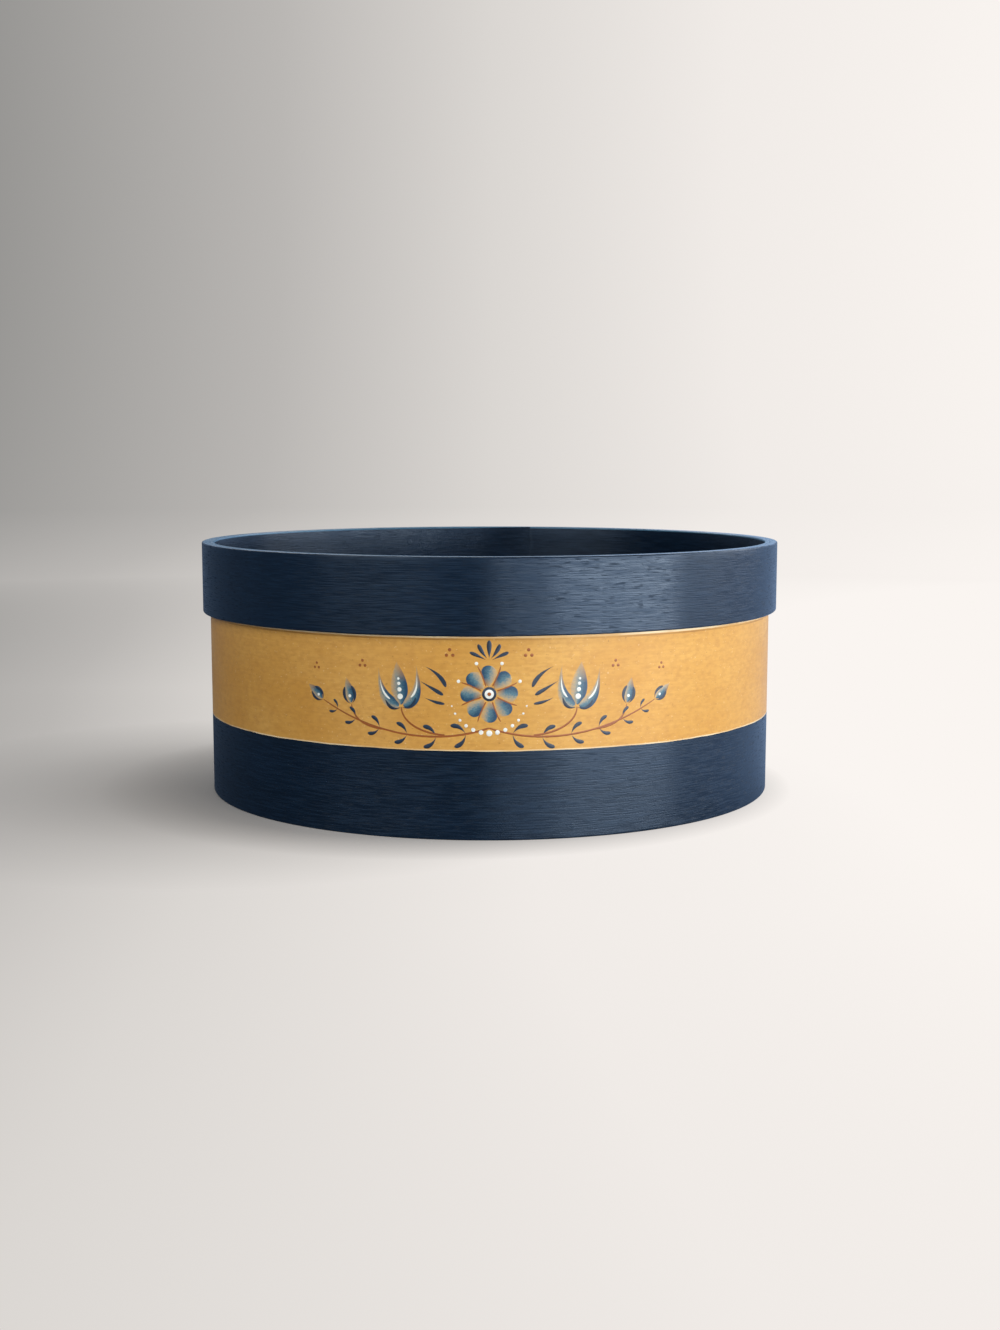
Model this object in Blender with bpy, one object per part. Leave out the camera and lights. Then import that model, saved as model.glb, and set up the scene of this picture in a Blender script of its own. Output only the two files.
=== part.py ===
"""Round bentwood box: a bent side wall, a hoop round its top edge, a pegged bottom and clinched lap tacks.

Metres, +Z up. The origin is on the table under the middle of the box. The front faces -Y, and both laps
are at the back.
"""

import math

import bmesh
import bpy
from mathutils import Matrix, Vector

# The whole box, and the gap that two touching pieces keep
BOX_DIAMETER = 0.254
BOX_HEIGHT = 0.1088
FIT_GAP = 0.0003
CUT_OVERRUN = 0.002
TURNS = 96
FASTENER_SIDES = 12
SMOOTH_ANGLE = math.radians(30)

# The hoop, a strip bent round the outside of the wall and flush with its top edge
HOOP_HEIGHT = 0.0299
HOOP_THICKNESS = 0.0029
HOOP_LAP_LENGTH = 0.036
HOOP_LAP_OFFSET = 0.044
HOOP_EDGE_RADIUS = 0.0009

# The side wall, a strip whose thinned ends lie over each other at the back
WALL_THICKNESS = 0.0022
WALL_LAP_LENGTH = 0.042
WALL_EDGE_RADIUS = 0.0006

# Both strips: how thin a lap's end is cut, the length in which the other end steps down to receive it,
# the most of a thin edge that its rounding takes, and how near a lap's end the next regular station may be
LAP_TIP = 0.0003
LAP_STEP = 0.001
EDGE_STEPS = 2
EDGE_ROUNDING_SHARE = 0.9
STATION_SPACING_SHARE = 0.3

# The paint: blue below this height, gilding from here up to the hoop, and blue again on the hoop and inside
PAINT_LINE = 0.0342

# The bottom, a round panel held inside the lower edge of the wall by pegs
PANEL_THICKNESS = 0.005
PANEL_RECESS = 0.0025
PANEL_CHAMFER = 0.0005
PEG_COUNT = 12
PEG_RADIUS = 0.001
PEG_LENGTH = 0.013
PEG_CHAMFER = 0.0002

# The tacks that hold the laps: domed head outside, flattened end inside
TACK_HEAD_RADIUS = 0.0021
TACK_HEAD_HEIGHT = 0.0007
TACK_RIM_HEIGHT = 0.0002
TACK_SHANK_RADIUS = 0.0007
TACK_CLINCH_RADIUS = 0.0014
TACK_CLINCH_HEIGHT = 0.0005
DOME_STEPS = 3
WALL_TACK_COUNT = 4
HOOP_TACK_COUNT = 2

# Worked out from the sizes above
HOOP_OUTER = BOX_DIAMETER / 2
HOOP_INNER = HOOP_OUTER - HOOP_THICKNESS
HOOP_LOW = BOX_HEIGHT - HOOP_HEIGHT
WALL_OUTER = HOOP_INNER - FIT_GAP
WALL_INNER = WALL_OUTER - WALL_THICKNESS
PANEL_RADIUS = WALL_INNER - FIT_GAP
PANEL_TOP = PANEL_RECESS + PANEL_THICKNESS
BACK = math.pi / 2
WALL_LAP_AT = BACK
HOOP_LAP_AT = BACK + HOOP_LAP_OFFSET / HOOP_OUTER

# Colour as linear red, green and blue, then roughness and metallic value
FINISHES = {
    "blue_paint": ((0.014, 0.028, 0.052), 0.42, 0.0),
    "gilding": ((0.694, 0.418, 0.109), 0.40, 0.6),
    "peg_wood": ((0.520, 0.330, 0.170), 0.60, 0.0),
    "tack_metal": ((0.450, 0.230, 0.120), 0.45, 0.9),
}


def clear_scene():
    """Removes whatever the file opened with."""
    for obj in list(bpy.data.objects):
        bpy.data.objects.remove(obj)


def finish(name):
    """The material of that name, made on first use."""
    found = bpy.data.materials.get(name)
    if found:
        return found
    colour, roughness, metallic = FINISHES[name]
    made = bpy.data.materials.new(name)
    made.use_nodes = True
    shader = made.node_tree.nodes["Principled BSDF"]
    shader.inputs["Base Color"].default_value = (*colour, 1)
    shader.inputs["Roughness"].default_value = roughness
    shader.inputs["Metallic"].default_value = metallic
    return made


def make_mesh(name, bm, *finishes):
    """Turns the bmesh into a mesh with outward faces, shaded smooth where it is round."""
    bmesh.ops.recalc_face_normals(bm, faces=bm.faces)
    mesh = bpy.data.meshes.new(name)
    bm.to_mesh(mesh)
    bm.free()
    mesh.shade_smooth()
    mesh.set_sharp_from_angle(angle=SMOOTH_ANGLE)
    for each in finishes:
        mesh.materials.append(finish(each))
    return mesh


def add_object(name, mesh, place=Matrix()):
    """Puts the mesh into the scene as a named object at its place."""
    obj = bpy.data.objects.new(name, mesh)
    obj.matrix_world = place
    bpy.context.scene.collection.objects.link(obj)
    return obj


def strip_section(inner, outer, low, high, edge_radius, levels):
    """A strip's section as (radius, height) points: up the outer face and down the inner one.

    The corners are rounded, as far as the strip is thick enough, and both faces have a point at each level.
    """
    rounding = min(edge_radius, (outer - inner) / 2 * EDGE_ROUNDING_SHARE)
    centres = [
        (outer - rounding, low + rounding, -math.pi / 2),
        (outer - rounding, high - rounding, 0),
        (inner + rounding, high - rounding, math.pi / 2),
        (inner + rounding, low + rounding, math.pi),
    ]
    corners = []
    for radius, height, start in centres:
        angles = [start + math.pi / 2 * i / EDGE_STEPS for i in range(EDGE_STEPS + 1)]
        corners.append([(radius + rounding * math.cos(a), height + rounding * math.sin(a)) for a in angles])
    rising = [(outer, level) for level in levels]
    falling = [(inner, level) for level in reversed(levels)]
    return corners[0] + rising + corners[1] + corners[2] + falling + corners[3]


def strip_stations(inner, outer, lap_at, lap_length):
    """(angle, inner radius, outer radius) along a strip, from the end that lies inside to the other.

    In the lap a slanting joint parts the two ends, so that together they are as thick as the rest.
    """
    middle = (inner + outer) / 2
    start, end = (lap_at + side * lap_length / 2 / middle for side in (-1, 1))
    step_angle = LAP_STEP / middle
    pitch = math.tau / TURNS

    def regular(low, high):
        """The box's regular angles that lie well inside this range."""
        first = math.ceil(low / pitch + STATION_SPACING_SHARE)
        last = math.floor(high / pitch - STATION_SPACING_SHARE)
        return [i * pitch for i in range(first, last + 1)]

    def joint(angle):
        """The joint's radius: near the inner face where the lap starts, near the outer where it ends."""
        share = (angle - start) / (end - start)
        near, far = inner + LAP_TIP + FIT_GAP / 2, outer - LAP_TIP - FIT_GAP / 2
        return near + share * (far - near)

    lap = [start, *regular(start, end), end]
    stepped_up, stepping_down = end + step_angle, start + math.tau - step_angle
    ring = [stepped_up, *regular(stepped_up, stepping_down), stepping_down]
    under = [(a, inner, joint(a) - FIT_GAP / 2) for a in lap]
    full = [(a, inner, outer) for a in ring]
    over = [(a + math.tau, joint(a) + FIT_GAP / 2, outer) for a in lap]
    return under + full + over


def bent_strip(name, inner, outer, low, high, lap_at, lap_length, edge_radius, levels, *finishes):
    """A strip bent into a ring, its ends lapped: one section carried round, and closed at both ends."""
    bm = bmesh.new()
    rings = []
    for angle, near, far in strip_stations(inner, outer, lap_at, lap_length):
        points = strip_section(near, far, low, high, edge_radius, levels)
        rings.append([bm.verts.new((r * math.cos(angle), r * math.sin(angle), z)) for r, z in points])
    for this, following in zip(rings, rings[1:]):
        for i in range(len(this)):
            bm.faces.new((this[i - 1], this[i], following[i], following[i - 1]))
    bm.faces.new(rings[0])
    bm.faces.new(reversed(rings[-1]))
    return add_object(name, make_mesh(name, bm, *finishes))


def turned(bm, profile, sides, place=Matrix()):
    """Adds a solid turned about the place's own Z axis, from (radius, height) points, pole to pole."""
    ends = [bm.verts.new(place @ Vector((0, 0, height))) for _, height in (profile[0], profile[-1])]
    angles = [math.tau * i / sides for i in range(sides)]
    rings = []
    for radius, height in profile[1:-1]:
        ring = [place @ Vector((radius * math.cos(a), radius * math.sin(a), height)) for a in angles]
        rings.append([bm.verts.new(point) for point in ring])
    for i in range(sides):
        bm.faces.new((ends[0], rings[0][i], rings[0][i - 1]))
        bm.faces.new((ends[1], rings[-1][i - 1], rings[-1][i]))
        for this, following in zip(rings, rings[1:]):
            bm.faces.new((this[i - 1], this[i], following[i], following[i - 1]))


def outward(angle, radius, height):
    """A place on the wall whose Z axis points straight out of the box.

    It is turned about that axis by half a fastener's side, which lays a side, not a corner, across the strips'
    upright edges.
    """
    half_side = Matrix.Rotation(math.pi / FASTENER_SIDES, 4, "Z")
    turn = Matrix.Rotation(angle, 4, "Z") @ Matrix.Rotation(math.pi / 2, 4, "Y") @ half_side
    return Matrix.Translation((radius * math.cos(angle), radius * math.sin(angle), height)) @ turn


def rod(radius, low, high, chamfer=0):
    """Profile of a round rod along its axis, with chamfered ends if asked."""
    if not chamfer:
        return [(0, low), (radius, low), (radius, high), (0, high)]
    low_end = [(0, low), (radius - chamfer, low), (radius, low + chamfer)]
    high_end = [(radius, high - chamfer), (radius - chamfer, high), (0, high)]
    return low_end + high_end


def tack(stack):
    """Profile of a tack through wood as thick as the stack, measured from the inner face outwards."""
    shank_in, head_at = -FIT_GAP, stack + FIT_GAP
    clinch = [
        (0, shank_in - TACK_CLINCH_HEIGHT),
        (TACK_CLINCH_RADIUS / 2, shank_in - TACK_CLINCH_HEIGHT),
        (TACK_CLINCH_RADIUS, shank_in - TACK_CLINCH_HEIGHT / 2),
        (TACK_CLINCH_RADIUS, shank_in),
        (TACK_SHANK_RADIUS, shank_in),
    ]
    head = [(TACK_SHANK_RADIUS, head_at), (TACK_HEAD_RADIUS, head_at)]
    dome_base, dome = head_at + TACK_RIM_HEIGHT, TACK_HEAD_HEIGHT - TACK_RIM_HEIGHT
    for i in range(DOME_STEPS):
        a = math.pi / 2 * i / DOME_STEPS
        head.append((TACK_HEAD_RADIUS * math.cos(a), dome_base + dome * math.sin(a)))
    return clinch + head + [(0, dome_base + dome)]


def fasteners(name, profile, places, finish_name):
    """Equal turned pieces that share one mesh: an object at each place, numbered from 1."""
    bm = bmesh.new()
    turned(bm, profile, FASTENER_SIDES)
    mesh = make_mesh(name, bm, finish_name)
    for number, place in enumerate(places, 1):
        add_object(f"{name}_{number}", mesh, place)


def holes(name, low, high, radius, places):
    """A hidden cutter: one straight hole at each place, from low to high along its axis."""
    bm = bmesh.new()
    for place in places:
        turned(bm, rod(radius, low, high), FASTENER_SIDES, place)
    cutter = add_object(name, make_mesh(name, bm))
    cutter.hide_render = True
    cutter.display_type = "WIRE"
    return cutter


def cut(obj, *cutters):
    """Takes each cutter out of the object."""
    for cutter in cutters:
        boolean = obj.modifiers.new(cutter.name, "BOOLEAN")
        boolean.operation = "DIFFERENCE"
        boolean.solver = "EXACT"
        boolean.object = cutter


def spread(count, low, high):
    """Heights of a column of tacks: the middles of that many equal steps from low to high."""
    return [low + (high - low) * (i + 1 / 2) / count for i in range(count)]


def paint_wall(wall):
    """Gilds the outer faces between the paint line and the hoop, and leaves the rest blue."""
    middle = (WALL_INNER + WALL_OUTER) / 2
    for face in wall.data.polygons:
        outside = math.hypot(face.center.x, face.center.y) > middle
        if outside and PAINT_LINE < face.center.z < HOOP_LOW:
            face.material_index = 1


def build_wall():
    """The side wall, with a row of points where the paint changes and where the hoop starts."""
    levels = [PAINT_LINE, HOOP_LOW]
    wall = bent_strip(
        "side_wall", WALL_INNER, WALL_OUTER, 0, BOX_HEIGHT,
        WALL_LAP_AT, WALL_LAP_LENGTH, WALL_EDGE_RADIUS, levels, "blue_paint", "gilding",
    )
    paint_wall(wall)
    return wall


def build_hoop():
    """The hoop, its lap beside the wall's so that the two joints don't lie over each other."""
    return bent_strip(
        "rim_hoop", HOOP_INNER, HOOP_OUTER, HOOP_LOW, BOX_HEIGHT,
        HOOP_LAP_AT, HOOP_LAP_LENGTH, HOOP_EDGE_RADIUS, [], "blue_paint",
    )


def build_bottom():
    """The bottom panel, set up inside the wall so that the box stands on the wall's edge."""
    bm = bmesh.new()
    turned(bm, rod(PANEL_RADIUS, PANEL_RECESS, PANEL_TOP, PANEL_CHAMFER), TURNS)
    return add_object("bottom_panel", make_mesh("bottom_panel", bm, "blue_paint"))


def build_pegs():
    """The bottom's pegs, driven through the wall into the panel's edge, and the holes they need."""
    height = (PANEL_RECESS + PANEL_TOP) / 2
    turns = [BACK + math.tau * (i + 1 / 2) / PEG_COUNT for i in range(PEG_COUNT)]
    places = [outward(turn, WALL_OUTER, height) for turn in turns]
    fasteners("bottom_peg", rod(PEG_RADIUS, -PEG_LENGTH, 0, PEG_CHAMFER), places, "peg_wood")
    inner_end = -PEG_LENGTH - FIT_GAP
    return holes("peg_holes", inner_end, CUT_OVERRUN, PEG_RADIUS + FIT_GAP, places)


def build_tacks(name, angle, heights, stack):
    """A column of tacks on a lap, and their holes. The stack is the wood that they hold together."""
    places = [outward(angle, WALL_INNER, height) for height in heights]
    fasteners(name, tack(stack), places, "tack_metal")
    radius = TACK_SHANK_RADIUS + FIT_GAP
    return holes(name + "_holes", -CUT_OVERRUN, stack + CUT_OVERRUN, radius, places)


def main():
    clear_scene()
    wall, hoop, bottom = build_wall(), build_hoop(), build_bottom()
    peg_holes = build_pegs()
    wall_heights = spread(WALL_TACK_COUNT, PANEL_TOP, HOOP_LOW)
    hoop_heights = spread(HOOP_TACK_COUNT, HOOP_LOW, BOX_HEIGHT)
    wall_tacks = build_tacks("wall_lap_tack", WALL_LAP_AT, wall_heights, WALL_OUTER - WALL_INNER)
    hoop_tacks = build_tacks("hoop_lap_tack", HOOP_LAP_AT, hoop_heights, HOOP_OUTER - WALL_INNER)
    cut(wall, peg_holes, wall_tacks, hoop_tacks)
    cut(hoop, hoop_tacks)
    cut(bottom, peg_holes)


main()
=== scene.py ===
"""Looks of a round bentwood box: brushed blue paint, a gilded band and a painted spray of tulips on it.

Metres, +Z up, and the front faces -Y. Angles go round the box from +X, seen from above.
"""

import math

import bpy
import numpy as np
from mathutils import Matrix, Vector


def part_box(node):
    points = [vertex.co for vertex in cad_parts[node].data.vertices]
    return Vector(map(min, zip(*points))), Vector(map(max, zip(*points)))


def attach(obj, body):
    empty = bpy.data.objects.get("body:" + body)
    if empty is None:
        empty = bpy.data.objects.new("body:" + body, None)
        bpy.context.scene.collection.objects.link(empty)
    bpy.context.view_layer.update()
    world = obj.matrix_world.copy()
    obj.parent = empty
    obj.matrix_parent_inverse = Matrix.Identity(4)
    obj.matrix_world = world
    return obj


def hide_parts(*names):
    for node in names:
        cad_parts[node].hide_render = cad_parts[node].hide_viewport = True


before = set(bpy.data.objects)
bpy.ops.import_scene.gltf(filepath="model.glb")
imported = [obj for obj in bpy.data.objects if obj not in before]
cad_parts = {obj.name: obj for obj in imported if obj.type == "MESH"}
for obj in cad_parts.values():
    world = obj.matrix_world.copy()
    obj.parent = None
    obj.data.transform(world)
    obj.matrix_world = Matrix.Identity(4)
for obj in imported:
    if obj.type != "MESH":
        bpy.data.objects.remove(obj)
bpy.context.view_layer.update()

MM = 0.001
FRONT = -math.pi / 2
BACK = math.pi / 2

# Sizes taken from the frame
HOOP_LOW_CORNER, HOOP_HIGH_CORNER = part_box("rim_hoop")
HOOP_RADIUS = HOOP_HIGH_CORNER.x
HOOP_LOW = HOOP_LOW_CORNER.z
BOX_TOP = HOOP_HIGH_CORNER.z
WALL_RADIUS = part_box("side_wall")[1].x
PANEL_LOW_CORNER, PANEL_HIGH_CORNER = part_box("bottom_panel")
PANEL_RADIUS = PANEL_HIGH_CORNER.x

# The strips: their laps, the hoop's lap a little way round from the wall's, the rounding of their edges and
# where hoop and wall meet under the paint, and how far the rows of their faces keep from the edges
HOOP_LAP_OFFSET = 44 * MM
HOOP_LAP_AT = BACK + HOOP_LAP_OFFSET / HOOP_RADIUS
HOOP_LAP_LENGTH = 36 * MM
HOOP_ROUNDING = 0.55 * MM
HOOP_ROWS_INSET = HOOP_ROUNDING * 1.2
WALL_THICKNESS = 2.2 * MM
WALL_LAP_LENGTH = 42 * MM
WALL_ROUNDING = 0.7 * MM
WALL_ROWS_INSET = WALL_ROUNDING * 1.5
MEETING_ROUNDING = 0.08 * MM
PAINTED_GAP = 0.02 * MM
LAP_TIP = 0.08 * MM
LAP_STEP = 1 * MM
LAP_GAP = 0.04 * MM
THIN_EDGE_SHARE = 0.9
RING_STATIONS = 720
LAP_STATIONS = 60
CORNER_STEPS = 6
BOARD_ROUNDING = 0.5 * MM
BOARD_MIDDLE = 1 * MM
BOARD_SIDES = 256

# Pegs and tacks
PEG_COUNT = 12
PEG_RADIUS = 1 * MM
PEG_LENGTH = 13 * MM
PEG_DOME = 0.04 * MM
HEAD_RADIUS = 2.1 * MM
HEAD_HEIGHT = 0.7 * MM
SHANK_RADIUS = 0.7 * MM
CLINCH_RADIUS = 1.4 * MM
CLINCH_HEIGHT = 0.05 * MM
WALL_TACKS = 4
HOOP_TACKS = 2
FASTENER_SIDES = 32
DOME_STEPS = 6
DOME_TURN = math.radians(80)

# The gilding: mean height of the line between it and the blue, and how far it goes under the hoop
PAINT_LINE = 34.2 * MM
UNDER_HOOP = 1.5 * MM

# Its edges: the heights over the paint line and up to the hoop between which a pale painted highlight
# line fades out and in, and the middle and half width of a thin brown painted shadow line below the upper one
HIGHLIGHT_OVER_LINE = (0.25 * MM, 0.6 * MM)
HIGHLIGHT_UNDER_HOOP = (HOOP_LOW - 1.1 * MM, HOOP_LOW - 0.8 * MM)
HOOP_SHADOW_LINE = (HOOP_LOW - 1.45 * MM, 0.28 * MM)

# The layers over its base colour, as (length, width, detail, range of the noise, cover over it, colour):
# soft clouds, mottling, fine streaks, brown specks and pale ones
GILDING_BASE = "cc9745"
GILDING_LAYERS = [
    (40 * MM, 22 * MM, 3.0, (0.32, 0.68), (0.0, 1.0), "d9a858"),
    (2.8 * MM, 1.6 * MM, 4.0, (0.42, 0.72), (0.0, 0.4), "b17c3c"),
    (9 * MM, 0.8 * MM, 3.0, (0.35, 0.75), (0.0, 0.35), "bc853a"),
    (1.1 * MM, 0.8 * MM, 2.0, (0.24, 0.32), (0.45, 0.0), "8a5a28"),
    (0.9 * MM, 0.7 * MM, 1.0, (0.7, 0.76), (0.0, 0.5), "e6cb98"),
]

# Hand-made unevenness, as (size, waves round the box, phase)
OUT_OF_ROUND = [(0.10 * MM, 2, 0.4), (0.05 * MM, 3, 1.9), (0.03 * MM, 7, 0.8)]
LINE_WAVES = [(0.55 * MM, 1, math.pi), (0.07 * MM, 9, 0.3), (0.05 * MM, 23, 2.2), (0.03 * MM, 61, 1.1)]
HOOP_EDGE_WAVES = [(0.30 * MM, 1, BACK), (0.06 * MM, 5, 1.3), (0.03 * MM, 17, 0.2)]

# The painted spray: each brush stroke's powers at head and tail, the part of a half turn that its stations
# leave off at either end, and how far the paint stands out and goes in
ROUND = (0.5, 0.5)
LEAF = (0.8, 1.1)
DROP = (0.5, 1.1)
COMMA = (0.55, 1.5)
LINE = (0.1, 0.22)
STROKE_STATIONS = 28
STROKE_TIP = 0.04
PAINT_RELIEF = 0.09 * MM
PAINT_BED = 0.04 * MM

# The paper sweep, and where the box's shadow falls on it: the middle and the half sizes of an oval, and how
# far the shade round the box's foot is shifted to its left
FLOOR_MIDDLE = 0.01
FLOOR_RADIUS = 1.3
COVE_RADIUS = 0.6
COVE_STEPS = 24
SWEEP_HEIGHT = 1.5
SWEEP_SIDES = 128
SHADOW_PLACE = (-0.11, -0.01, 0)
SHADOW_SIZE = (0.12, 0.125, 1)
FOOT_SHADE_SHIFT = (0.02, 0, 0)

# The soft lamps, as (name, azimuth, elevation, width, height, level)
LAMP_DISTANCE = 1.15
LAMPS = [
    ("low_window", 48, 2.5, 1.0, 0.2, 16.5),
    ("low_window_left_edge", 14, 3, 0.5, 0.2, 5.8),
    ("low_window_right_edge", 84, 6, 0.5, 0.3, 1.4),
    ("side_window", 98, 18, 1.0, 0.4, 4.2),
    ("fill", -42, 34, 0.9, 0.8, 2.8),
    ("back_window", 180, 42, 1.2, 0.5, 3.2),
]

# The camera: the photograph's viewpoint, in the frame of 1000 by 1330 pixels
CAMERA_PLACE = (1.6 * MM, -758.5 * MM, 148.7 * MM)
CAMERA_PITCH = math.radians(7.258)
CAMERA_YAW = -0.0039
SENSOR = 36.0
FOCAL_PIXELS = 1695
IMAGE_HEIGHT = 1330


def uneven(angles, waves):
    """Sum of waves round the box, each of them its size times the sine of count times angle plus phase."""
    return sum(size * np.sin(count * angles + phase) for size, count, phase in waves)


def drawn_in(angles):
    """How far the bent wood lies inside the true circle: less than 1 mm everywhere."""
    return sum(size for size, _, _ in OUT_OF_ROUND) - uneven(angles, OUT_OF_ROUND)


def bent_round(angles, radii, heights):
    """Points at these angles, radii and heights, drawn in a little where the bent wood isn't quite round."""
    radii = radii - drawn_in(angles)
    return np.stack([radii * np.cos(angles), radii * np.sin(angles), heights], axis=-1)


def make_piece(name, points, faces, materials, face_material=None, smooth_below=40):
    """A mesh object at the origin from an array of points and a list of index arrays, shaded smooth."""
    mesh = bpy.data.meshes.new(name)
    mesh.from_pydata(points.reshape(-1, 3), [], [face for group in faces for face in group.tolist()])
    mesh.shade_smooth()
    mesh.set_sharp_from_angle(angle=math.radians(smooth_below))
    for material in materials:
        mesh.materials.append(material)
    if face_material is not None:
        mesh.polygons.foreach_set("material_index", face_material.astype(np.int32))
    piece = bpy.data.objects.new(name, mesh)
    bpy.context.scene.collection.objects.link(piece)
    return piece


def add_value(piece, name, values):
    """Keeps one number for each point of the piece, for its material to read."""
    kept = piece.data.attributes.new(name, "FLOAT", "POINT")
    kept.data.foreach_set("value", values.astype(np.float32).ravel())


def sheet_faces(rows, columns, closed=False):
    """Quads of a grid of rows by columns of points, numbered row by row. A closed grid joins its last column
    to its first."""
    row, column = np.meshgrid(np.arange(rows - 1), np.arange(columns - (not closed)), indexing="ij")
    after = (column + 1) % columns
    here, above = row * columns, (row + 1) * columns
    return np.stack([here + column, above + column, above + after, here + after], axis=-1).reshape(-1, 4)


def strip_stations(inner, outer, lap_at, lap_length):
    """Angles, inner radii and outer radii of the stations along a strip whose two ends lap.

    In the lap a slanting joint parts the ends: its radius goes in a straight line with the angle, from near
    the inner face to near the outer one. Outside the lap the strip has its full thickness.
    """
    start, end = (lap_at + side * lap_length / 2 / outer for side in (-1, 1))
    step = LAP_STEP / outer
    lap = np.linspace(start, end, LAP_STATIONS)
    ring = np.linspace(end + step, start + math.tau - step, RING_STATIONS)
    joint = inner + LAP_TIP + (lap - start) / (end - start) * (outer - inner - 2 * LAP_TIP)
    angles = np.concatenate([lap, ring, lap + math.tau])
    inners = np.concatenate([np.full(lap.size + ring.size, inner), joint + LAP_GAP / 2])
    outers = np.concatenate([joint - LAP_GAP / 2, np.full(ring.size + lap.size, outer)])
    return angles, inners, outers


def strip_section(inners, outers, low, high, roundings, rows):
    """Radii and heights of a strip's section at each station: up the outer face and down the inner one.

    A corner is a quarter circle about a centre set in from both faces by its rounding. The roundings are for
    the outer low, outer high, inner high and inner low corners. Between corners each face has these rows.
    """
    thinnest = (outers - inners) / 2 * THIN_EDGE_SHARE
    turn = np.linspace(0, math.pi / 2, CORNER_STEPS)
    corners = []
    for number, (face, inward, edge, upward) in enumerate([
        (outers, -1, low, 1), (outers, -1, high, -1), (inners, 1, high, -1), (inners, 1, low, 1),
    ]):
        size = np.minimum(roundings[number], thinnest)[:, None]
        direction = (number - 1) * math.pi / 2 + turn
        radii = face[:, None] + size * (inward + np.cos(direction))
        heights = edge[:, None] + size * (upward + np.sin(direction))
        corners.append((radii, heights))
    outer_rows = (np.broadcast_to(outers[:, None], rows.shape), rows)
    inner_rows = (np.broadcast_to(inners[:, None], rows.shape), rows[:, ::-1])
    order = [corners[0], outer_rows, corners[1], corners[2], inner_rows, corners[3]]
    return [np.concatenate([part[which] for part in order], axis=1) for which in (0, 1)]


def top_faces(stations, section, total):
    """Marks the faces of a strip's top edge: the flat one and those of the inner high corner's rounding."""
    marked = np.zeros((stations, section), bool)
    first = section // 2 - 1
    marked[:-1, first:first + CORNER_STEPS] = True
    return np.concatenate([marked[:-1].ravel(), np.zeros(total - (stations - 1) * section, bool)])


def strip_faces(stations, section):
    """Quads round the strip, then rows of quads across its section that close its first and last ends."""
    point = np.arange(section // 2 - 1)
    across = np.stack([point, point + 1, section - 2 - point, section - 1 - point], axis=-1)
    return [sheet_faces(stations, section, closed=True), across, across[:, ::-1] + (stations - 1) * section]


def spread_rows(*stretches):
    """Rows of heights for every station: (low, high, count) stretches, one above another, sharing no row."""
    parts = []
    for low, high, count in stretches:
        share = np.arange(count) / count
        parts.append(low[:, None] + (high - low)[:, None] * share)
    return np.concatenate(parts, axis=1)


def side_wall(blue, gilding, rim_highlight):
    """The wall: a bent strip whose outer face is gilded from the hand-drawn paint line to under the hoop."""
    inner = WALL_RADIUS - WALL_THICKNESS
    angles, inners, outers = strip_stations(inner, WALL_RADIUS, BACK, WALL_LAP_LENGTH)
    level = np.ones_like(angles)
    line = PAINT_LINE + uneven(angles, LINE_WAVES)
    gilded_to = HOOP_LOW + UNDER_HOOP
    low, high = WALL_ROWS_INSET, BOX_TOP - WALL_ROWS_INSET
    blue_rows, gilded_rows, hidden_rows = 8, 16, 5
    rows = spread_rows(
        (low * level, line, blue_rows),
        (line, gilded_to * level, gilded_rows),
        (gilded_to * level, high * level, hidden_rows),
    )
    roundings = [WALL_ROUNDING, MEETING_ROUNDING, WALL_ROUNDING, WALL_ROUNDING]
    radii, heights = strip_section(inners, outers, 0 * level, BOX_TOP * level, roundings, rows)
    points = bent_round(angles[:, None], radii, heights)
    faces = strip_faces(*radii.shape)
    gilded = np.zeros(sum(len(group) for group in faces), bool)
    on_face = np.zeros(radii.shape, bool)
    first = CORNER_STEPS + blue_rows
    on_face[:-1, first:first + gilded_rows] = True
    gilded[:(radii.shape[0] - 1) * radii.shape[1]] = on_face[:-1].ravel()
    # Its top faces take the paler rim paint, a painted highlight.
    gilded = gilded + 2 * top_faces(*radii.shape, gilded.size)
    piece = make_piece("side_wall_painted", points, faces, [blue, gilding, rim_highlight], gilded)
    add_value(piece, "above_line", heights - line[:, None])
    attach(piece, "root")
    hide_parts("side_wall")


def rim_hoop(blue, rim_highlight):
    """The hoop: a bent strip with a hand-cut lower edge, close round the wall under one coat of paint."""
    inner = WALL_RADIUS + PAINTED_GAP
    angles, inners, outers = strip_stations(inner, HOOP_RADIUS, HOOP_LAP_AT, HOOP_LAP_LENGTH)
    level = np.ones_like(angles)
    low = HOOP_LOW + uneven(angles, HOOP_EDGE_WAVES)
    outer_rows = 10
    rows = spread_rows((low + HOOP_ROWS_INSET, (BOX_TOP - HOOP_ROWS_INSET) * level, outer_rows))
    roundings = [HOOP_ROUNDING, HOOP_ROUNDING, MEETING_ROUNDING, MEETING_ROUNDING]
    radii, heights = strip_section(inners, outers, low, BOX_TOP * level, roundings, rows)
    points = bent_round(angles[:, None], radii, heights)
    faces = strip_faces(*radii.shape)
    # Its top faces take the paler rim paint, a painted highlight.
    on_top = top_faces(*radii.shape, sum(len(group) for group in faces))
    piece = make_piece("rim_hoop_painted", points, faces, [blue, rim_highlight], on_top)
    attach(piece, "root")
    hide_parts("rim_hoop")


def turned_points(profile, sides):
    """A profile of (radius, height) points carried round the Z axis: one ring of points for each of them."""
    angles = np.arange(sides) * math.tau / sides
    radii, heights = np.array(profile).T[:, :, None]
    return np.stack([radii * np.cos(angles), radii * np.sin(angles), heights + 0 * angles], axis=-1)


def turned_faces(rings, sides):
    """Quads between the rings of a turned piece, and a many-sided face over its first and last ring."""
    ring = np.arange(sides)[None]
    return [sheet_faces(rings, sides, closed=True)[:, ::-1], ring[:, ::-1], ring + (rings - 1) * sides]


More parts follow.
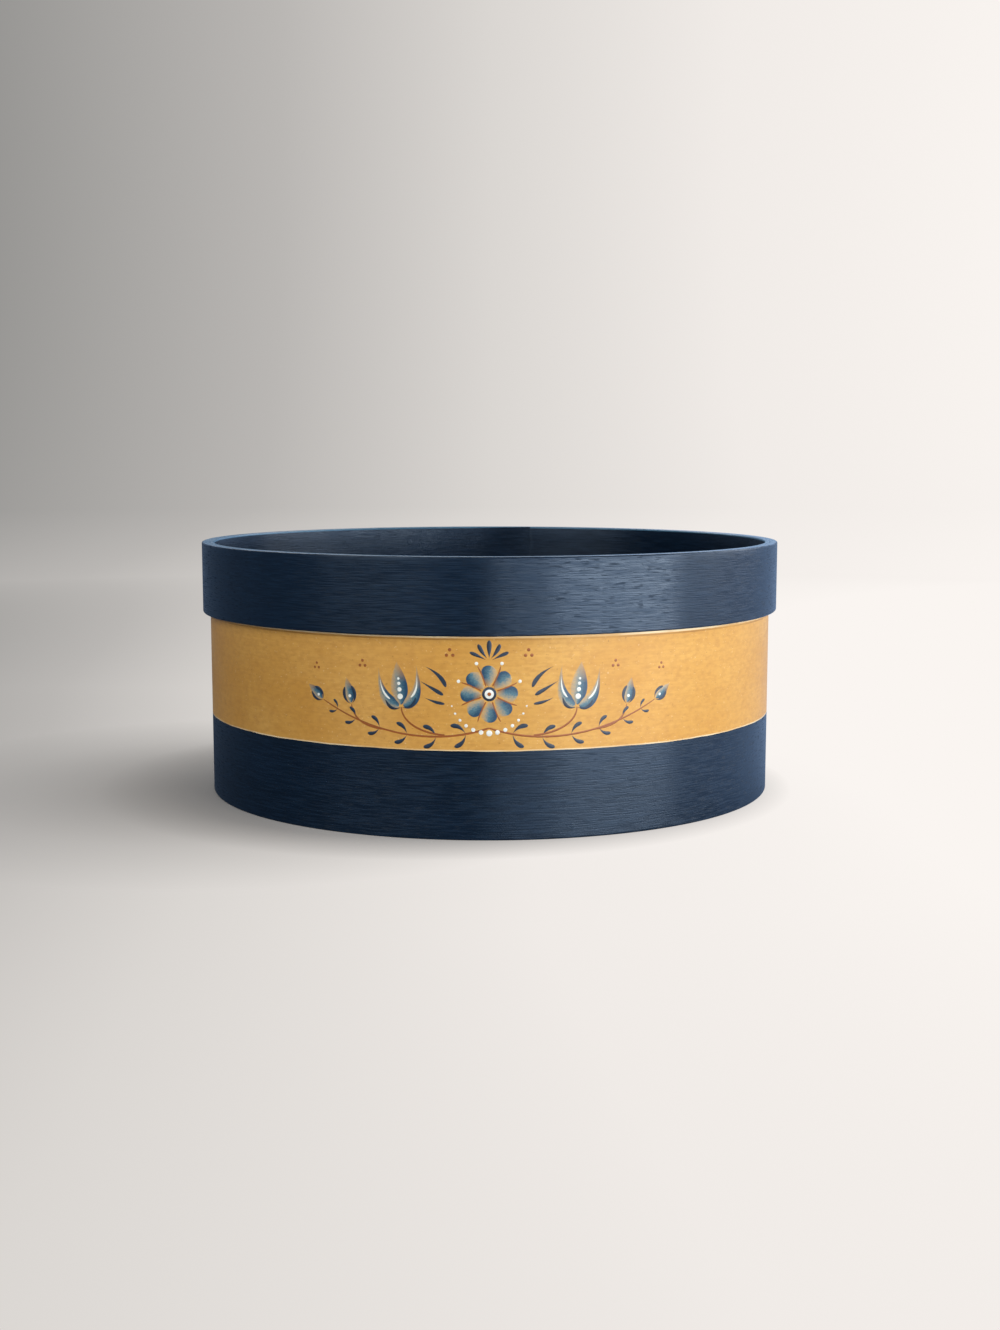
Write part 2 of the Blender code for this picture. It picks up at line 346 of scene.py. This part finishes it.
def rounded_end(radius, end, rounding, inward):
    """(radius, height) points of a turned piece's corner: a quarter circle from its end to its side."""
    corner = []
    for turn in np.linspace(0, math.pi / 2, CORNER_STEPS):
        side, along = rounding * (1 - math.sin(turn)), rounding * (1 - math.cos(turn))
        corner.append((radius - side, end + inward * along))
    return corner


def bottom_board(paint):
    """The bottom: a round board with softened edges, turned from its profile."""
    low, high = PANEL_LOW_CORNER.z, PANEL_HIGH_CORNER.z
    radius = PANEL_RADIUS
    profile = [(BOARD_MIDDLE, low), (radius / 2, low)]
    profile += rounded_end(radius, low, BOARD_ROUNDING, 1)
    profile += rounded_end(radius, high, BOARD_ROUNDING, -1)[::-1]
    profile += [(radius / 2, high), (BOARD_MIDDLE, high)]
    points = turned_points(profile, BOARD_SIDES)
    piece = make_piece("bottom_board_painted", points, turned_faces(len(profile), BOARD_SIDES), [paint])
    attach(piece, "root")
    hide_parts("bottom_panel")


def set_in_wall(points, angle, height):
    """Points of a piece turned about Z, laid so that its axis runs out through the wall at this place."""
    outward = np.array([math.cos(angle), math.sin(angle), 0])
    sideways = np.array([-math.sin(angle), math.cos(angle), 0])
    upward = np.array([0, 0, 1])
    laid = points[..., :1] * sideways + points[..., 1:2] * upward + points[..., 2:] * outward
    return laid - drawn_in(angle) * outward + height * upward


def fasteners(name, nodes, profile, painted, materials):
    """One piece of equal turned fasteners through the wall, at the places of these CAD nodes.

    The profile gives (radius, distance from the box's axis) from the inside out. Of its rows of faces, the
    first painted[0] and the last painted[1] wear the paint of the surface they stand on. The others are bare.
    """
    one = turned_points(profile, FASTENER_SIDES)
    rings = len(profile)
    points, groups, which = [], [], []
    for number, node in enumerate(nodes):
        middle = sum(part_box(node), start=Vector()) / 2
        points.append(set_in_wall(one, math.atan2(middle.y, middle.x), middle.z))
        groups += [group + number * rings * FASTENER_SIDES for group in turned_faces(rings, FASTENER_SIDES)]
        outside = 2 if PAINT_LINE < middle.z < HOOP_LOW else 1
        rows = [1] * painted[0] + [0] * (rings - 1 - sum(painted)) + [outside] * painted[1]
        which += [np.repeat(rows, FASTENER_SIDES), [1, outside]]
    piece = make_piece(name, np.stack(points), groups, materials, np.concatenate(which))
    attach(piece, "root")
    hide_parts(*nodes)


def low_dome(radius, at, height):
    """(radius, distance) points of a low dome that ends a fastener."""
    turns = np.linspace(0, DOME_TURN, DOME_STEPS)
    return [(radius * math.cos(turn), at + height * math.sin(turn)) for turn in turns]


def pegs(wood, blue, gilding):
    """Wooden pegs through the wall into the bottom board, cut off almost flush and painted over."""
    start = WALL_RADIUS - PEG_LENGTH
    rod = [(PEG_RADIUS / 2, start), (PEG_RADIUS, start + PEG_RADIUS / 2)]
    end = low_dome(PEG_RADIUS, WALL_RADIUS, PEG_DOME)
    nodes = [f"bottom_peg_{number}" for number in range(1, PEG_COUNT + 1)]
    fasteners("peg_ends_painted", nodes, rod + end, (0, len(end)), [wood, blue, gilding])


def tacks(name, nodes, head_at, brass, blue, gilding):
    """Tacks through a lap: the point hammered flat on the wall's inner face, and a domed head outside."""
    inside = WALL_RADIUS - WALL_THICKNESS
    clinch = [(CLINCH_RADIUS / 4, inside - CLINCH_HEIGHT), (CLINCH_RADIUS * 0.8, inside - CLINCH_HEIGHT)]
    clinch.append((CLINCH_RADIUS, inside))
    shank = [(SHANK_RADIUS, inside), (SHANK_RADIUS, head_at)]
    head = low_dome(HEAD_RADIUS, head_at, HEAD_HEIGHT)
    painted = (len(clinch), len(head))
    fasteners(name, nodes, clinch + shank + head, painted, [brass, blue, gilding])


# The spray of flowers. Its strokes are (paint, curve, width, shape, layer): the curve's corners are in mm to
# the right of the front's middle and above the paint line, the width is in mm, and a stroke lies on those of
# the layers below its own. A motif stands upright on (0, 0).


def stroke(paint, corners, width, shape, layer=0):
    """One brush stroke."""
    return paint, corners, width, shape, layer


def dot(paint, x, y, radius, layer=0):
    """A round dab of paint."""
    return stroke(paint, [(x - radius, y), (x + radius, y)], 2 * radius, ROUND, layer)


def placed(strokes, x, y, turn=0, size=1):
    """The strokes scaled, turned clockwise by so many degrees and moved to a place."""
    across, up = math.sin(math.radians(turn)), math.cos(math.radians(turn))
    moved = []
    for paint, corners, width, *rest in strokes:
        corners = [(x + size * (u * up + v * across), y + size * (v * up - u * across)) for u, v in corners]
        moved.append((paint, corners, width * size, *rest))
    return moved


def mirrored(strokes):
    """The strokes' mirror images about the upright line through 0."""
    return [(paint, [(-u, v) for u, v in corners], *rest) for paint, corners, *rest in strokes]


def rosette():
    """Eight blue petals round a white eye, and fine lines between them, the upper ones tipped with pearls."""
    petal = [stroke("blue", [(0.6, 9.8), (-0.6, 6), (0, 2.3)], 5.6, DROP)]
    line = [stroke("sienna", [(0, 3), (0.5, 7), (0, 10.4)], 0.55, LINE)]
    strokes = [dot("navy", 0, 0, 2.5), dot("white", 0, 0, 1.6, 1), dot("sienna", 0, 0, 0.65, 2)]
    for turn in range(0, 360, 45):
        strokes += placed(petal, 0, 0, turn) + placed(line, 0, 0, turn + 22.5)
    for turn in (-67.5, -22.5, 22.5, 67.5):
        strokes += placed([dot("white", 0, 11.5, 0.6)], 0, 0, turn)
    return strokes


def tulip():
    """A pointed middle petal with a row of pearls, two petals that curve out round it, and two leaves."""
    side = [
        stroke("blue", [(0.6, 0.4), (6.4, 1.6), (5.6, 12)], 3.6, COMMA),
        stroke("white", [(3.1, 2.5), (5.6, 4.2), (5.5, 9)], 0.6, COMMA, 1),
        stroke("navy", [(4.6, 2.6), (3, -1.4), (0, 0)], 1.4, COMMA),
    ]
    middle = [stroke("blue", [(0, 0.6), (0, 6), (0, 13)], 5.0, LEAF)]
    sizes = [(3, 0.8), (5, 0.62), (6.7, 0.48), (8.1, 0.36)]
    return middle + side + mirrored(side) + [dot("white", 0, height, radius, 1) for height, radius in sizes]


def bud():
    """A closed flower: one blue petal held by two navy leaves."""
    hold = [stroke("navy", [(1.1, 5.6), (3, 1.8), (0, 0)], 1.2, COMMA)]
    petal = [stroke("blue", [(0, 0.4), (0, 4), (0, 8.4)], 3.4, LEAF), dot("white", 0, 2.6, 0.5, 1)]
    return petal + hold + mirrored(hold)


def leaf_pair(length):
    """Two navy comma strokes that spring from one place, to the left and the right of the way ahead."""
    corners = [(length * 0.62, length * 0.8), (length * 0.62, length * 0.25), (0, 0)]
    leaf = [stroke("navy", corners, length * 0.27, COMMA)]
    return leaf + mirrored(leaf)


def spray():
    """The whole spray: a rosette in the middle, and on either side a stem with a tulip, buds and leaves."""
    stem = [(0, 9.5), (19, 3), (43, 5), (68, 18)]
    half = [
        stroke("sienna", stem, 0.85, LINE),
        stroke("sienna", [(17, 6.6), (26, 7), (34, 11), (34, 17)], 0.8, LINE),
        stroke("sienna", [(42, 8), (51, 9), (54, 12), (55, 17)], 0.7, LINE),
    ]
    half += placed(tulip(), 34, 17, 6, 1.35)
    half += placed(bud(), 55, 17, 12, 1.25) + placed(bud(), 68, 18, 52, 1.1)
    for share, length in [(0.15, 6.6), (0.33, 6.4), (0.5, 6), (0.66, 5.5), (0.8, 5), (0.91, 4)]:
        here, ahead = curve(stem, np.array([share, share + 0.01]))
        half += placed(leaf_pair(length), *here, math.degrees(math.atan2(*(ahead - here))))
    commas = [
        ([(16.5, 25), (18, 30), (25, 33)], 1.7),
        ([(17.5, 22), (21, 24), (27, 27.5)], 1.5),
        ([(17, 18.6), (21, 19), (25, 21)], 1.2),
        ([(4.2, 41.5), (2.8, 38.2), (0.6, 36)], 1.6),
        ([(7.4, 38.4), (4.6, 37.4), (0.9, 35.4)], 1.4),
    ]
    for corners, width in commas:
        half.append(stroke("navy", corners, width, COMMA))
    for x, y, size in [(15, 38, 1.1), (50, 33, 1), (71, 31, 0.9)]:
        cluster = [dot("sienna", u, v, 0.6) for u, v in [(0, 1.2), (-1.1, -0.7), (1.1, -0.7)]]
        half += placed(cluster, x, y, 0, size)
    for step in range(1, 7):
        turn = math.radians(12 * step)
        half.append(dot("white", 15 * math.sin(turn), 22.5 - 15 * math.cos(turn), 1.0 - 0.11 * step, 1))
    middle = [stroke("navy", [(0, 43), (0, 39), (0, 36)], 1.9, COMMA), dot("white", 0, 7.5, 1.15, 1)]
    return half + mirrored(half) + placed(rosette(), 0, 22.5, 0, 1.1) + middle


def curve(corners, shares):
    """Points of a Bezier curve at shares of its length: its corners, blended pair by pair down to one."""
    points = [np.array(corner, float)[None] for corner in corners]
    while len(points) > 1:
        points = [first + (second - first) * shares[:, None] for first, second in zip(points, points[1:])]
    return points[0]


def stroke_points(corners, width, shape, layer):
    """Points of one stroke, and their shares along and across it: a low dome of paint that follows a curve.

    The width goes with share^head times (1 - share)^tail, so that small powers give a blunt end and large
    ones a point. Across the stroke the height falls off with the square of the distance from its middle.
    """
    head, tail = shape
    share = (1 - np.cos(np.linspace(STROKE_TIP, math.pi - STROKE_TIP, STROKE_STATIONS))) / 2
    peak = head / (head + tail)
    swell = (share / peak) ** head * ((1 - share) / (1 - peak)) ** tail
    middle = curve(corners, share)
    ahead = np.gradient(middle, axis=0)
    aside = np.stack([-ahead[:, 1], ahead[:, 0]], axis=-1) / np.linalg.norm(ahead, axis=-1, keepdims=True)
    side = np.array([-1, -0.6, -0.2, 0.2, 0.6, 1, 0.8, -0.8])
    in_bed = np.arange(side.size) > 5
    lift = np.where(in_bed, -PAINT_BED, PAINT_RELIEF * (1 - side ** 2))
    place = middle[:, None] + aside[:, None] * (swell[:, None] * side * width / 2)[..., None]
    lift = lift * np.minimum(1, swell[:, None] * width) + layer * PAINT_RELIEF
    angles = FRONT + place[..., 0] * MM / WALL_RADIUS
    points = bent_round(angles, WALL_RADIUS + lift, PAINT_LINE + place[..., 1] * MM)
    return points, np.broadcast_to(share[:, None], lift.shape), np.broadcast_to(side / 2 + 0.5, lift.shape)


def painted_spray(paints):
    """All the strokes as one piece that stands a little out of the gilding."""
    strokes = spray()
    made = [stroke_points(*shape) for _, *shape in strokes]
    stations, section = made[0][1].shape
    ring = np.arange(section)[None]
    one = [sheet_faces(stations, section, closed=True), ring, ring[:, ::-1] + (stations - 1) * section]
    groups = [group + n * stations * section for n in range(len(strokes)) for group in one]
    order = list(paints)
    which = np.concatenate([np.full(len(one[0]) + 2, order.index(paint)) for paint, *_ in strokes])
    piece = make_piece("painted_spray", np.stack([m[0] for m in made]), groups, list(paints.values()), which)
    add_value(piece, "along", np.stack([m[1] for m in made]))
    add_value(piece, "across", np.stack([m[2] for m in made]))
    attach(piece, "root")


# Materials


def linear(hex_colour):
    """An sRGB colour written as RRGGBB, as linear red, green, blue and a full alpha."""
    parts = [int(hex_colour[i:i + 2], 16) / 255 for i in (0, 2, 4)]
    return (*(c / 12.92 if c <= 0.04045 else ((c + 0.055) / 1.055) ** 2.4 for c in parts), 1)


def set_inputs(node, inputs):
    """Sets a node's inputs to values, or links them to other nodes' outputs.

    They are given by name or number in a dict, or in the node's own order in a list.
    """
    for key, given in inputs.items() if isinstance(inputs, dict) else enumerate(inputs):
        if isinstance(given, bpy.types.NodeSocket):
            node.id_data.links.new(given, node.inputs[key])
        else:
            node.inputs[key].default_value = given


def add_node(tree, kind, inputs=(), output=0, stops=(), **settings):
    """Adds a shader node with its settings and inputs, and returns one of its outputs, by name or number.

    The stops are a colour ramp's, as (position, colour).
    """
    node = tree.nodes.new("ShaderNode" + kind)
    for name, setting in settings.items():
        setattr(node, name, setting)
    set_inputs(node, inputs)
    for number, (position, colour) in enumerate(stops):
        elements = node.color_ramp.elements
        stop = elements[number] if number < 2 else elements.new(position)
        stop.position = position
        stop.color = colour
    return node.outputs[output]


def new_material(name):
    """An empty node material: the material, its tree and its Principled shader."""
    material = bpy.data.materials.new(name)
    material.use_nodes = True
    return material, material.node_tree, material.node_tree.nodes["Principled BSDF"]


def grain(tree, length, width, detail=2.0, flat=False):
    """Noise drawn out along the strips, from 0 to 1: blotches of that length round them and that width up.

    On a flat board they run along X instead.
    """
    place = add_node(tree, "TexCoord", output="Object")
    scale = (1 / length, 1 / (width if flat else length), 1 / width)
    drawn_out = add_node(tree, "Mapping", {"Vector": place, "Scale": scale})
    return add_node(tree, "TexNoise", {"Vector": drawn_out, "Scale": 1.0, "Detail": detail}, "Fac")


def brushed_blue_paint(name, dark="071320", pale="09192a", spread=0.65, flat=False):
    """Satin milk paint, dark blue, brushed along the strips: fine furrows break the light into short streaks.

    The furrows spread a highlight up and down the wall, across the brush's way, and hold it narrow along it.
    Short dashes where the brush ran dry are duller and darker. A bristle's own furrow is too fine to show, so
    both are drawn as coarse as they need to show.
    """
    material, tree, shader = new_material(name)
    furrows = grain(tree, 9 * MM, 0.42 * MM, 0.5, flat)
    dashes = grain(tree, 3.5 * MM, 0.45 * MM, 0.0, flat)
    dashes = add_node(tree, "MapRange", [dashes, 0.28, 0.4, 1.0, 0.0])
    clouds = add_node(tree, "MapRange", [grain(tree, 45 * MM, 14 * MM, 2.0, flat), 0.3, 0.7, 0.0, 1.0])
    ridges = add_node(tree, "MapRange", [furrows, 0.4, 0.75, 0.0, 0.5])
    dark_dashes = add_node(tree, "MapRange", [dashes, 0.0, 1.0, 0.0, 0.4])
    colour = linear(dark)
    for cover, tint in [(clouds, pale), (ridges, "13283d"), (dark_dashes, "040c16")]:
        colour = add_node(tree, "Mix", {0: cover, 6: colour, 7: linear(tint)}, 2, data_type="RGBA")
    satin = add_node(tree, "MapRange", [furrows, 0.35, 0.65, 0.28, 0.4])
    bump = add_node(tree, "Bump", {"Height": furrows, "Strength": 1.0, "Distance": 0.05 * MM})
    set_inputs(shader, {
        "Base Color": colour,
        "Roughness": add_node(tree, "Math", [dashes, 0.2, satin], operation="MULTIPLY_ADD"),
        "Anisotropic": spread,
        "Anisotropic Rotation": 0.25,
        "Specular IOR Level": 0.52,
        "Specular Tint": linear("cfe6ff"),
        "Normal": bump,
    })
    return material


def rim_highlight_blue_paint(name):
    """The same paint, smoother along the rim and paler there as a painted highlight: a thin bright line on
    its top.
    """
    material, tree, shader = new_material(name)
    patches = grain(tree, 20 * MM, 20 * MM)
    colour = {0: patches, 6: linear("3a6078"), 7: linear("567f99")}
    set_inputs(shader, {
        "Base Color": add_node(tree, "Mix", colour, 2, data_type="RGBA"),
        "Roughness": add_node(tree, "MapRange", [patches, 0.0, 1.0, 0.24, 0.34]),
        "Specular Tint": linear("bedcff"),
    })
    return material


def gilded_colour(tree):
    """Gold over yellow size: soft clouds and mottling, fine streaks along it, pale and brown specks."""
    colour = linear(GILDING_BASE)
    for length, width, detail, noise, cover, tint in GILDING_LAYERS:
        cover = add_node(tree, "MapRange", [grain(tree, length, width, detail), *noise, *cover])
        colour = add_node(tree, "Mix", {0: cover, 6: colour, 7: linear(tint)}, 2, data_type="RGBA")
    return colour


def gilding_over_size(name):
    """Gold paint over yellow size: satin, a little metallic, with a pale painted highlight line at either
    edge.

    A thin brown painted shadow line lies just below the upper one.
    """
    material, tree, shader = new_material(name)
    over_line = add_node(tree, "Attribute", output="Fac", attribute_name="above_line")
    place = add_node(tree, "TexCoord", output="Object")
    height = add_node(tree, "SeparateXYZ", [place], "Z")
    patchy_share = add_node(tree, "MapRange", [grain(tree, 18 * MM, 8 * MM), 0.35, 0.62, 0.25, 0.9])
    # Pale painted highlight lines at both edges of the gilding, in patches.
    low_edge = add_node(tree, "MapRange", [over_line, *HIGHLIGHT_OVER_LINE, 1.0, 0.0])
    high_edge = add_node(tree, "MapRange", [height, *HIGHLIGHT_UNDER_HOOP, 0.0, 1.0])
    painted_highlight = add_node(tree, "Math", [low_edge, high_edge], operation="MAXIMUM")
    painted_highlight = add_node(tree, "Math", [painted_highlight, patchy_share], operation="MULTIPLY")
    # A thin brown painted shadow line just below the upper highlight line.
    shade = add_node(tree, "Math", [height, *HOOP_SHADOW_LINE], operation="COMPARE")
    shade = add_node(tree, "Math", [shade, patchy_share], operation="MULTIPLY")
    shade = add_node(tree, "MapRange", [shade, 0.0, 1.0, 0.0, 0.6])
    colour = gilded_colour(tree)
    for cover, tint in [(shade, "84562c"), (painted_highlight, "ecdab4")]:
        colour = add_node(tree, "Mix", {0: cover, 6: colour, 7: linear(tint)}, 2, data_type="RGBA")
    furrows = grain(tree, 8 * MM, 0.7 * MM, detail=4.0)
    set_inputs(shader, {
        "Base Color": colour,
        "Metallic": 0.05,
        "Specular IOR Level": 0.35,
        "Anisotropic": 0.6,
        "Anisotropic Rotation": 0.25,
        "Roughness": add_node(tree, "MapRange", [furrows, 0.0, 1.0, 0.38, 0.52]),
        "Normal": add_node(tree, "Bump", {"Height": furrows, "Strength": 0.6, "Distance": 0.03 * MM}),
    })
    return material


def stroke_paint(name, thick, thin, faded=0.0):
    """Opaque artist's paint laid with a round brush: satin, streaked along the stroke, thin along one side.

    Faded strokes let the gilding through on their thin side and at their tail.
    """
    material, tree, shader = new_material(name)
    across = add_node(tree, "Attribute", output="Fac", attribute_name="across")
    along = add_node(tree, "Attribute", output="Fac", attribute_name="along")
    hairs = add_node(tree, "MapRange", [grain(tree, 0.7 * MM, 0.5 * MM), 0.0, 1.0, -0.25, 0.25])
    side = add_node(tree, "Math", [across, hairs], operation="ADD")
    thinned = add_node(tree, "MapRange", [side, 0.15, 0.85, 0.0, 1.0])
    colour = add_node(tree, "Mix", {0: thinned, 6: linear(thick), 7: linear(thin)}, 2, data_type="RGBA")
    if faded:
        patchy_share = add_node(tree, "MapRange", [side, 0.5, 1.0, 0.0, faded])
        tail = add_node(tree, "MapRange", [along, 0.55, 1.0, 0.0, faded])
        most = add_node(tree, "Math", [patchy_share, tail], operation="MAXIMUM")
        colour = add_node(tree, "Mix", {0: most, 6: colour, 7: gilded_colour(tree)}, 2, data_type="RGBA")
    set_inputs(shader, {"Base Color": colour, "Roughness": 0.45})
    return material


def bare_hardwood(name):
    """Pale turned hardwood: the pegs, where no paint covers them."""
    material, tree, shader = new_material(name)
    colour = {0: grain(tree, 1.5 * MM, 0.4 * MM), 6: linear("a98c62"), 7: linear("c9ad84")}
    colour = add_node(tree, "Mix", colour, 2, data_type="RGBA")
    set_inputs(shader, {"Base Color": colour, "Roughness": 0.6})
    return material


def dull_brass(name):
    """Brass gone brown with age: the tacks, where no paint covers them."""
    material, tree, shader = new_material(name)
    tarnish = grain(tree, 0.8 * MM, 0.8 * MM)
    colour = {0: tarnish, 6: linear("c89f5c"), 7: linear("8a6437")}
    colour = add_node(tree, "Mix", colour, 2, data_type="RGBA")
    roughness = add_node(tree, "MapRange", [tarnish, 0.0, 1.0, 0.35, 0.6])
    set_inputs(shader, {"Base Color": colour, "Roughness": roughness, "Metallic": 1.0})
    return material


# The studio


def backdrop_painted_light(tree, place):
    """Colour of the backdrop as photographed: grey on the left to near white on the right.

    The way across is x, steeper near the box, plus a lift round the box and another for the floor behind it.
    The spread and the lifts are painted light, falling off to the left away from the lamps and brighter round
    the box.
    """
    x, y, z = add_node(tree, "SeparateXYZ", [place]).node.outputs
    distance = add_node(tree, "VectorMath", [place], "Value", operation="LENGTH")
    nearness = add_node(tree, "MapRange", [distance, 0.25, 1.3, 1.0, 0.0])
    slope = add_node(tree, "MapRange", [nearness, 0.0, 1.0, 1.0, 3.0])
    across = add_node(tree, "Math", [x, slope], operation="MULTIPLY")
    across = add_node(tree, "Math", [nearness, 0.3, across], operation="MULTIPLY_ADD")
    behind = add_node(tree, "MapRange", [y, -0.05, 0.3, 0.0, 0.17])
    low_down = add_node(tree, "MapRange", [z, 0.0, 0.07, 1.0, 0.0])
    across = add_node(tree, "Math", [behind, low_down, across], operation="MULTIPLY_ADD")
    share = add_node(tree, "MapRange", [across, -0.8, 0.8, 0.0, 1.0])
    stops = [(0.0, "8f8e8c"), (0.3, "b9b6b3"), (0.5, "dad6d2"), (0.72, "f0ebe7"), (1.0, "faf5f1")]
    return add_node(tree, "ValToRGB", [share], stops=[(at, linear(colour)) for at, colour in stops])


def mirrored_level(tree, place):
    """Strength of a glow that only reflections see, a painted reflection in the box's satin paint: dim on the
    left, more on the right and high up.
    """
    x, _, z = add_node(tree, "SeparateXYZ", [place]).node.outputs
    share = add_node(tree, "MapRange", [x, -0.5, 0.9, 0.0, 1.0])
    stops = [(0.0, 0.75), (0.25, 0.16), (0.4, 0.15), (0.5, 0.95), (0.7, 0.9), (1.0, 0.75)]
    stops = [(at, (level, level, level, 1)) for at, level in stops]
    on_floor = add_node(tree, "ValToRGB", [share], stops=stops)
    on_wall = add_node(tree, "MapRange", [z, 0.1, 0.4, 0.0, 0.5])
    return add_node(tree, "Math", [on_floor, on_wall], operation="ADD")


def clear_of_shadow(tree, place):
    """How far the paper lies outside the shadow: least in an oval to the box's left and round its foot.

    There the lamp-lit paper shows on its darker base colour, so the oval also places painted shade.
    """
    from_oval = {"Vector": place, "Location": SHADOW_PLACE, "Scale": SHADOW_SIZE}
    from_oval = add_node(tree, "Mapping", from_oval, vector_type="TEXTURE")
    from_oval = add_node(tree, "VectorMath", [from_oval], "Value", operation="LENGTH")
    inner = add_node(tree, "MapRange", [from_oval, 0.2, 1.0, 0.0, 0.7])
    outer = add_node(tree, "MapRange", [from_oval, 1.0, 1.5, 0.0, 0.3])
    off_oval = add_node(tree, "Math", [inner, outer], operation="ADD")
    from_foot = add_node(tree, "VectorMath", [place, FOOT_SHADE_SHIFT], operation="ADD")
    from_foot = add_node(tree, "VectorMath", [from_foot], "Value", operation="LENGTH")
    off_foot = add_node(tree, "MapRange", [from_foot, 0.12, 0.155, 0.35, 1.0])
    return add_node(tree, "Math", [off_oval, off_foot], operation="MULTIPLY")


def backdrop_paper(name):
    """Matt pale paper. Where the box's shadow falls on it, it shows the lamps' light and the shadow on a base
    colour darker than its glow elsewhere, a painted shade.

    Elsewhere the camera sees its glow, painted light, and the box's paint reflects a dimmer and bluer one, a
    painted reflection.
    """
    material, tree, shader = new_material(name)
    # Its base colour, darker than the glow elsewhere, is painted shade in the shadow oval and round the foot.
    set_inputs(shader, {"Base Color": linear("a9a7a5"), "Roughness": 0.9, "Specular IOR Level": 0.1})
    place = add_node(tree, "TexCoord", output="Object")
    rays = add_node(tree, "LightPath").node.outputs
    seen, reflected = rays["Is Camera Ray"], rays["Is Glossy Ray"]
    # Reflections see the tone tinted pale blue: a painted bluish reflection.
    tone = {0: reflected, 6: backdrop_painted_light(tree, place), 7: linear("a8cafa")}
    tone = add_node(tree, "Mix", tone, 2, data_type="RGBA", blend_type="MULTIPLY")
    level = [reflected, mirrored_level(tree, place), seen]
    level = add_node(tree, "Math", level, operation="MULTIPLY_ADD")
    glow = add_node(tree, "Emission", {"Color": tone, "Strength": level})
    glow_share = [clear_of_shadow(tree, place), seen, reflected]
    glow_share = add_node(tree, "Math", glow_share, operation="MULTIPLY_ADD")
    surface = add_node(tree, "MixShader", [glow_share, shader.outputs[0], glow])
    set_inputs(tree.nodes["Material Output"], {"Surface": surface})
    return material


def studio_sweep(paper):
    """Seamless floor that curves up in a quarter circle into a round wall."""
    profile = [(FLOOR_MIDDLE, 0), (FLOOR_RADIUS / 2, 0)]
    for turn in np.linspace(0, math.pi / 2, COVE_STEPS):
        outward, upward = math.sin(turn), 1 - math.cos(turn)
        profile.append((FLOOR_RADIUS + COVE_RADIUS * outward, COVE_RADIUS * upward))
    profile.append((FLOOR_RADIUS + COVE_RADIUS, SWEEP_HEIGHT))
    faces = [sheet_faces(len(profile), SWEEP_SIDES, closed=True), np.arange(SWEEP_SIDES)[None]]
    points = turned_points(profile, SWEEP_SIDES)
    make_piece("studio_sweep", points, faces, [paper], smooth_below=80)


def softbox(name, azimuth, elevation, width, height, level):
    """A soft rectangular lamp aimed at the middle of the box.

    Azimuth is to the camera's right of the front, and level is the brightness of its face, where 1 is white.
    """
    lamp = bpy.data.lights.new(name, "AREA")
    lamp.shape = "RECTANGLE"
    lamp.size, lamp.size_y = width, height
    lamp.energy = level * math.pi * width * height
    box_middle = BOX_TOP / 2
    side, rise = math.radians(azimuth), math.radians(elevation)
    obj = bpy.data.objects.new(name, lamp)
    obj.location = (
        LAMP_DISTANCE * math.sin(side) * math.cos(rise),
        -LAMP_DISTANCE * math.cos(side) * math.cos(rise),
        box_middle + LAMP_DISTANCE * math.sin(rise),
    )
    obj.rotation_euler = (math.pi / 2 - rise, 0, side)
    obj.visible_camera = False
    bpy.context.scene.collection.objects.link(obj)


def camera():
    """The photograph's viewpoint: a little above the rim, in front of the box."""
    data = bpy.data.cameras.new("photo_camera")
    data.sensor_width = SENSOR
    data.lens = FOCAL_PIXELS * SENSOR / IMAGE_HEIGHT
    obj = bpy.data.objects.new("photo_camera", data)
    obj.location = CAMERA_PLACE
    obj.rotation_euler = (math.pi / 2 - CAMERA_PITCH, 0, CAMERA_YAW)
    bpy.context.scene.collection.objects.link(obj)
    bpy.context.scene.camera = obj


blue_paint = brushed_blue_paint("brushed_blue_milk_paint")
rim_highlight_paint = rim_highlight_blue_paint("rim_highlight_blue_milk_paint")
gilding = gilding_over_size("gold_paint_over_size")
side_wall(blue_paint, gilding, rim_highlight_paint)
rim_hoop(blue_paint, rim_highlight_paint)
# The board's blue is lighter than the wall's: painted light inside the box, where little lamp light reaches.
bottom_board(brushed_blue_paint("brushed_blue_board_paint_lightened", "14293c", "1b3449", spread=0.0, flat=True))
painted_spray({
    "navy": stroke_paint("navy_stroke_paint", "162434", "23384c"),
    "blue": stroke_paint("blue_side_loaded_paint", "1a4460", "6a959e", faded=0.85),
    "sienna": stroke_paint("burnt_sienna_paint", "834516", "a05a22"),
    "white": stroke_paint("chalk_white_paint", "dfe3dc", "eceee8"),
})

wood, brass = bare_hardwood("bare_peg_hardwood"), dull_brass("dull_tack_brass")
pegs(wood, blue_paint, gilding)
wall_tacks = [f"wall_lap_tack_{number}" for number in range(1, WALL_TACKS + 1)]
hoop_tacks = [f"hoop_lap_tack_{number}" for number in range(1, HOOP_TACKS + 1)]
tacks("wall_lap_tacks_painted", wall_tacks, WALL_RADIUS, brass, blue_paint, gilding)
tacks("hoop_lap_tacks_painted", hoop_tacks, HOOP_RADIUS, brass, blue_paint, gilding)
camera()
studio_sweep(backdrop_paper("matt_backdrop_paper"))
for lamp in LAMPS:
    softbox(*lamp)
bpy.context.scene.view_settings.view_transform = "Standard"
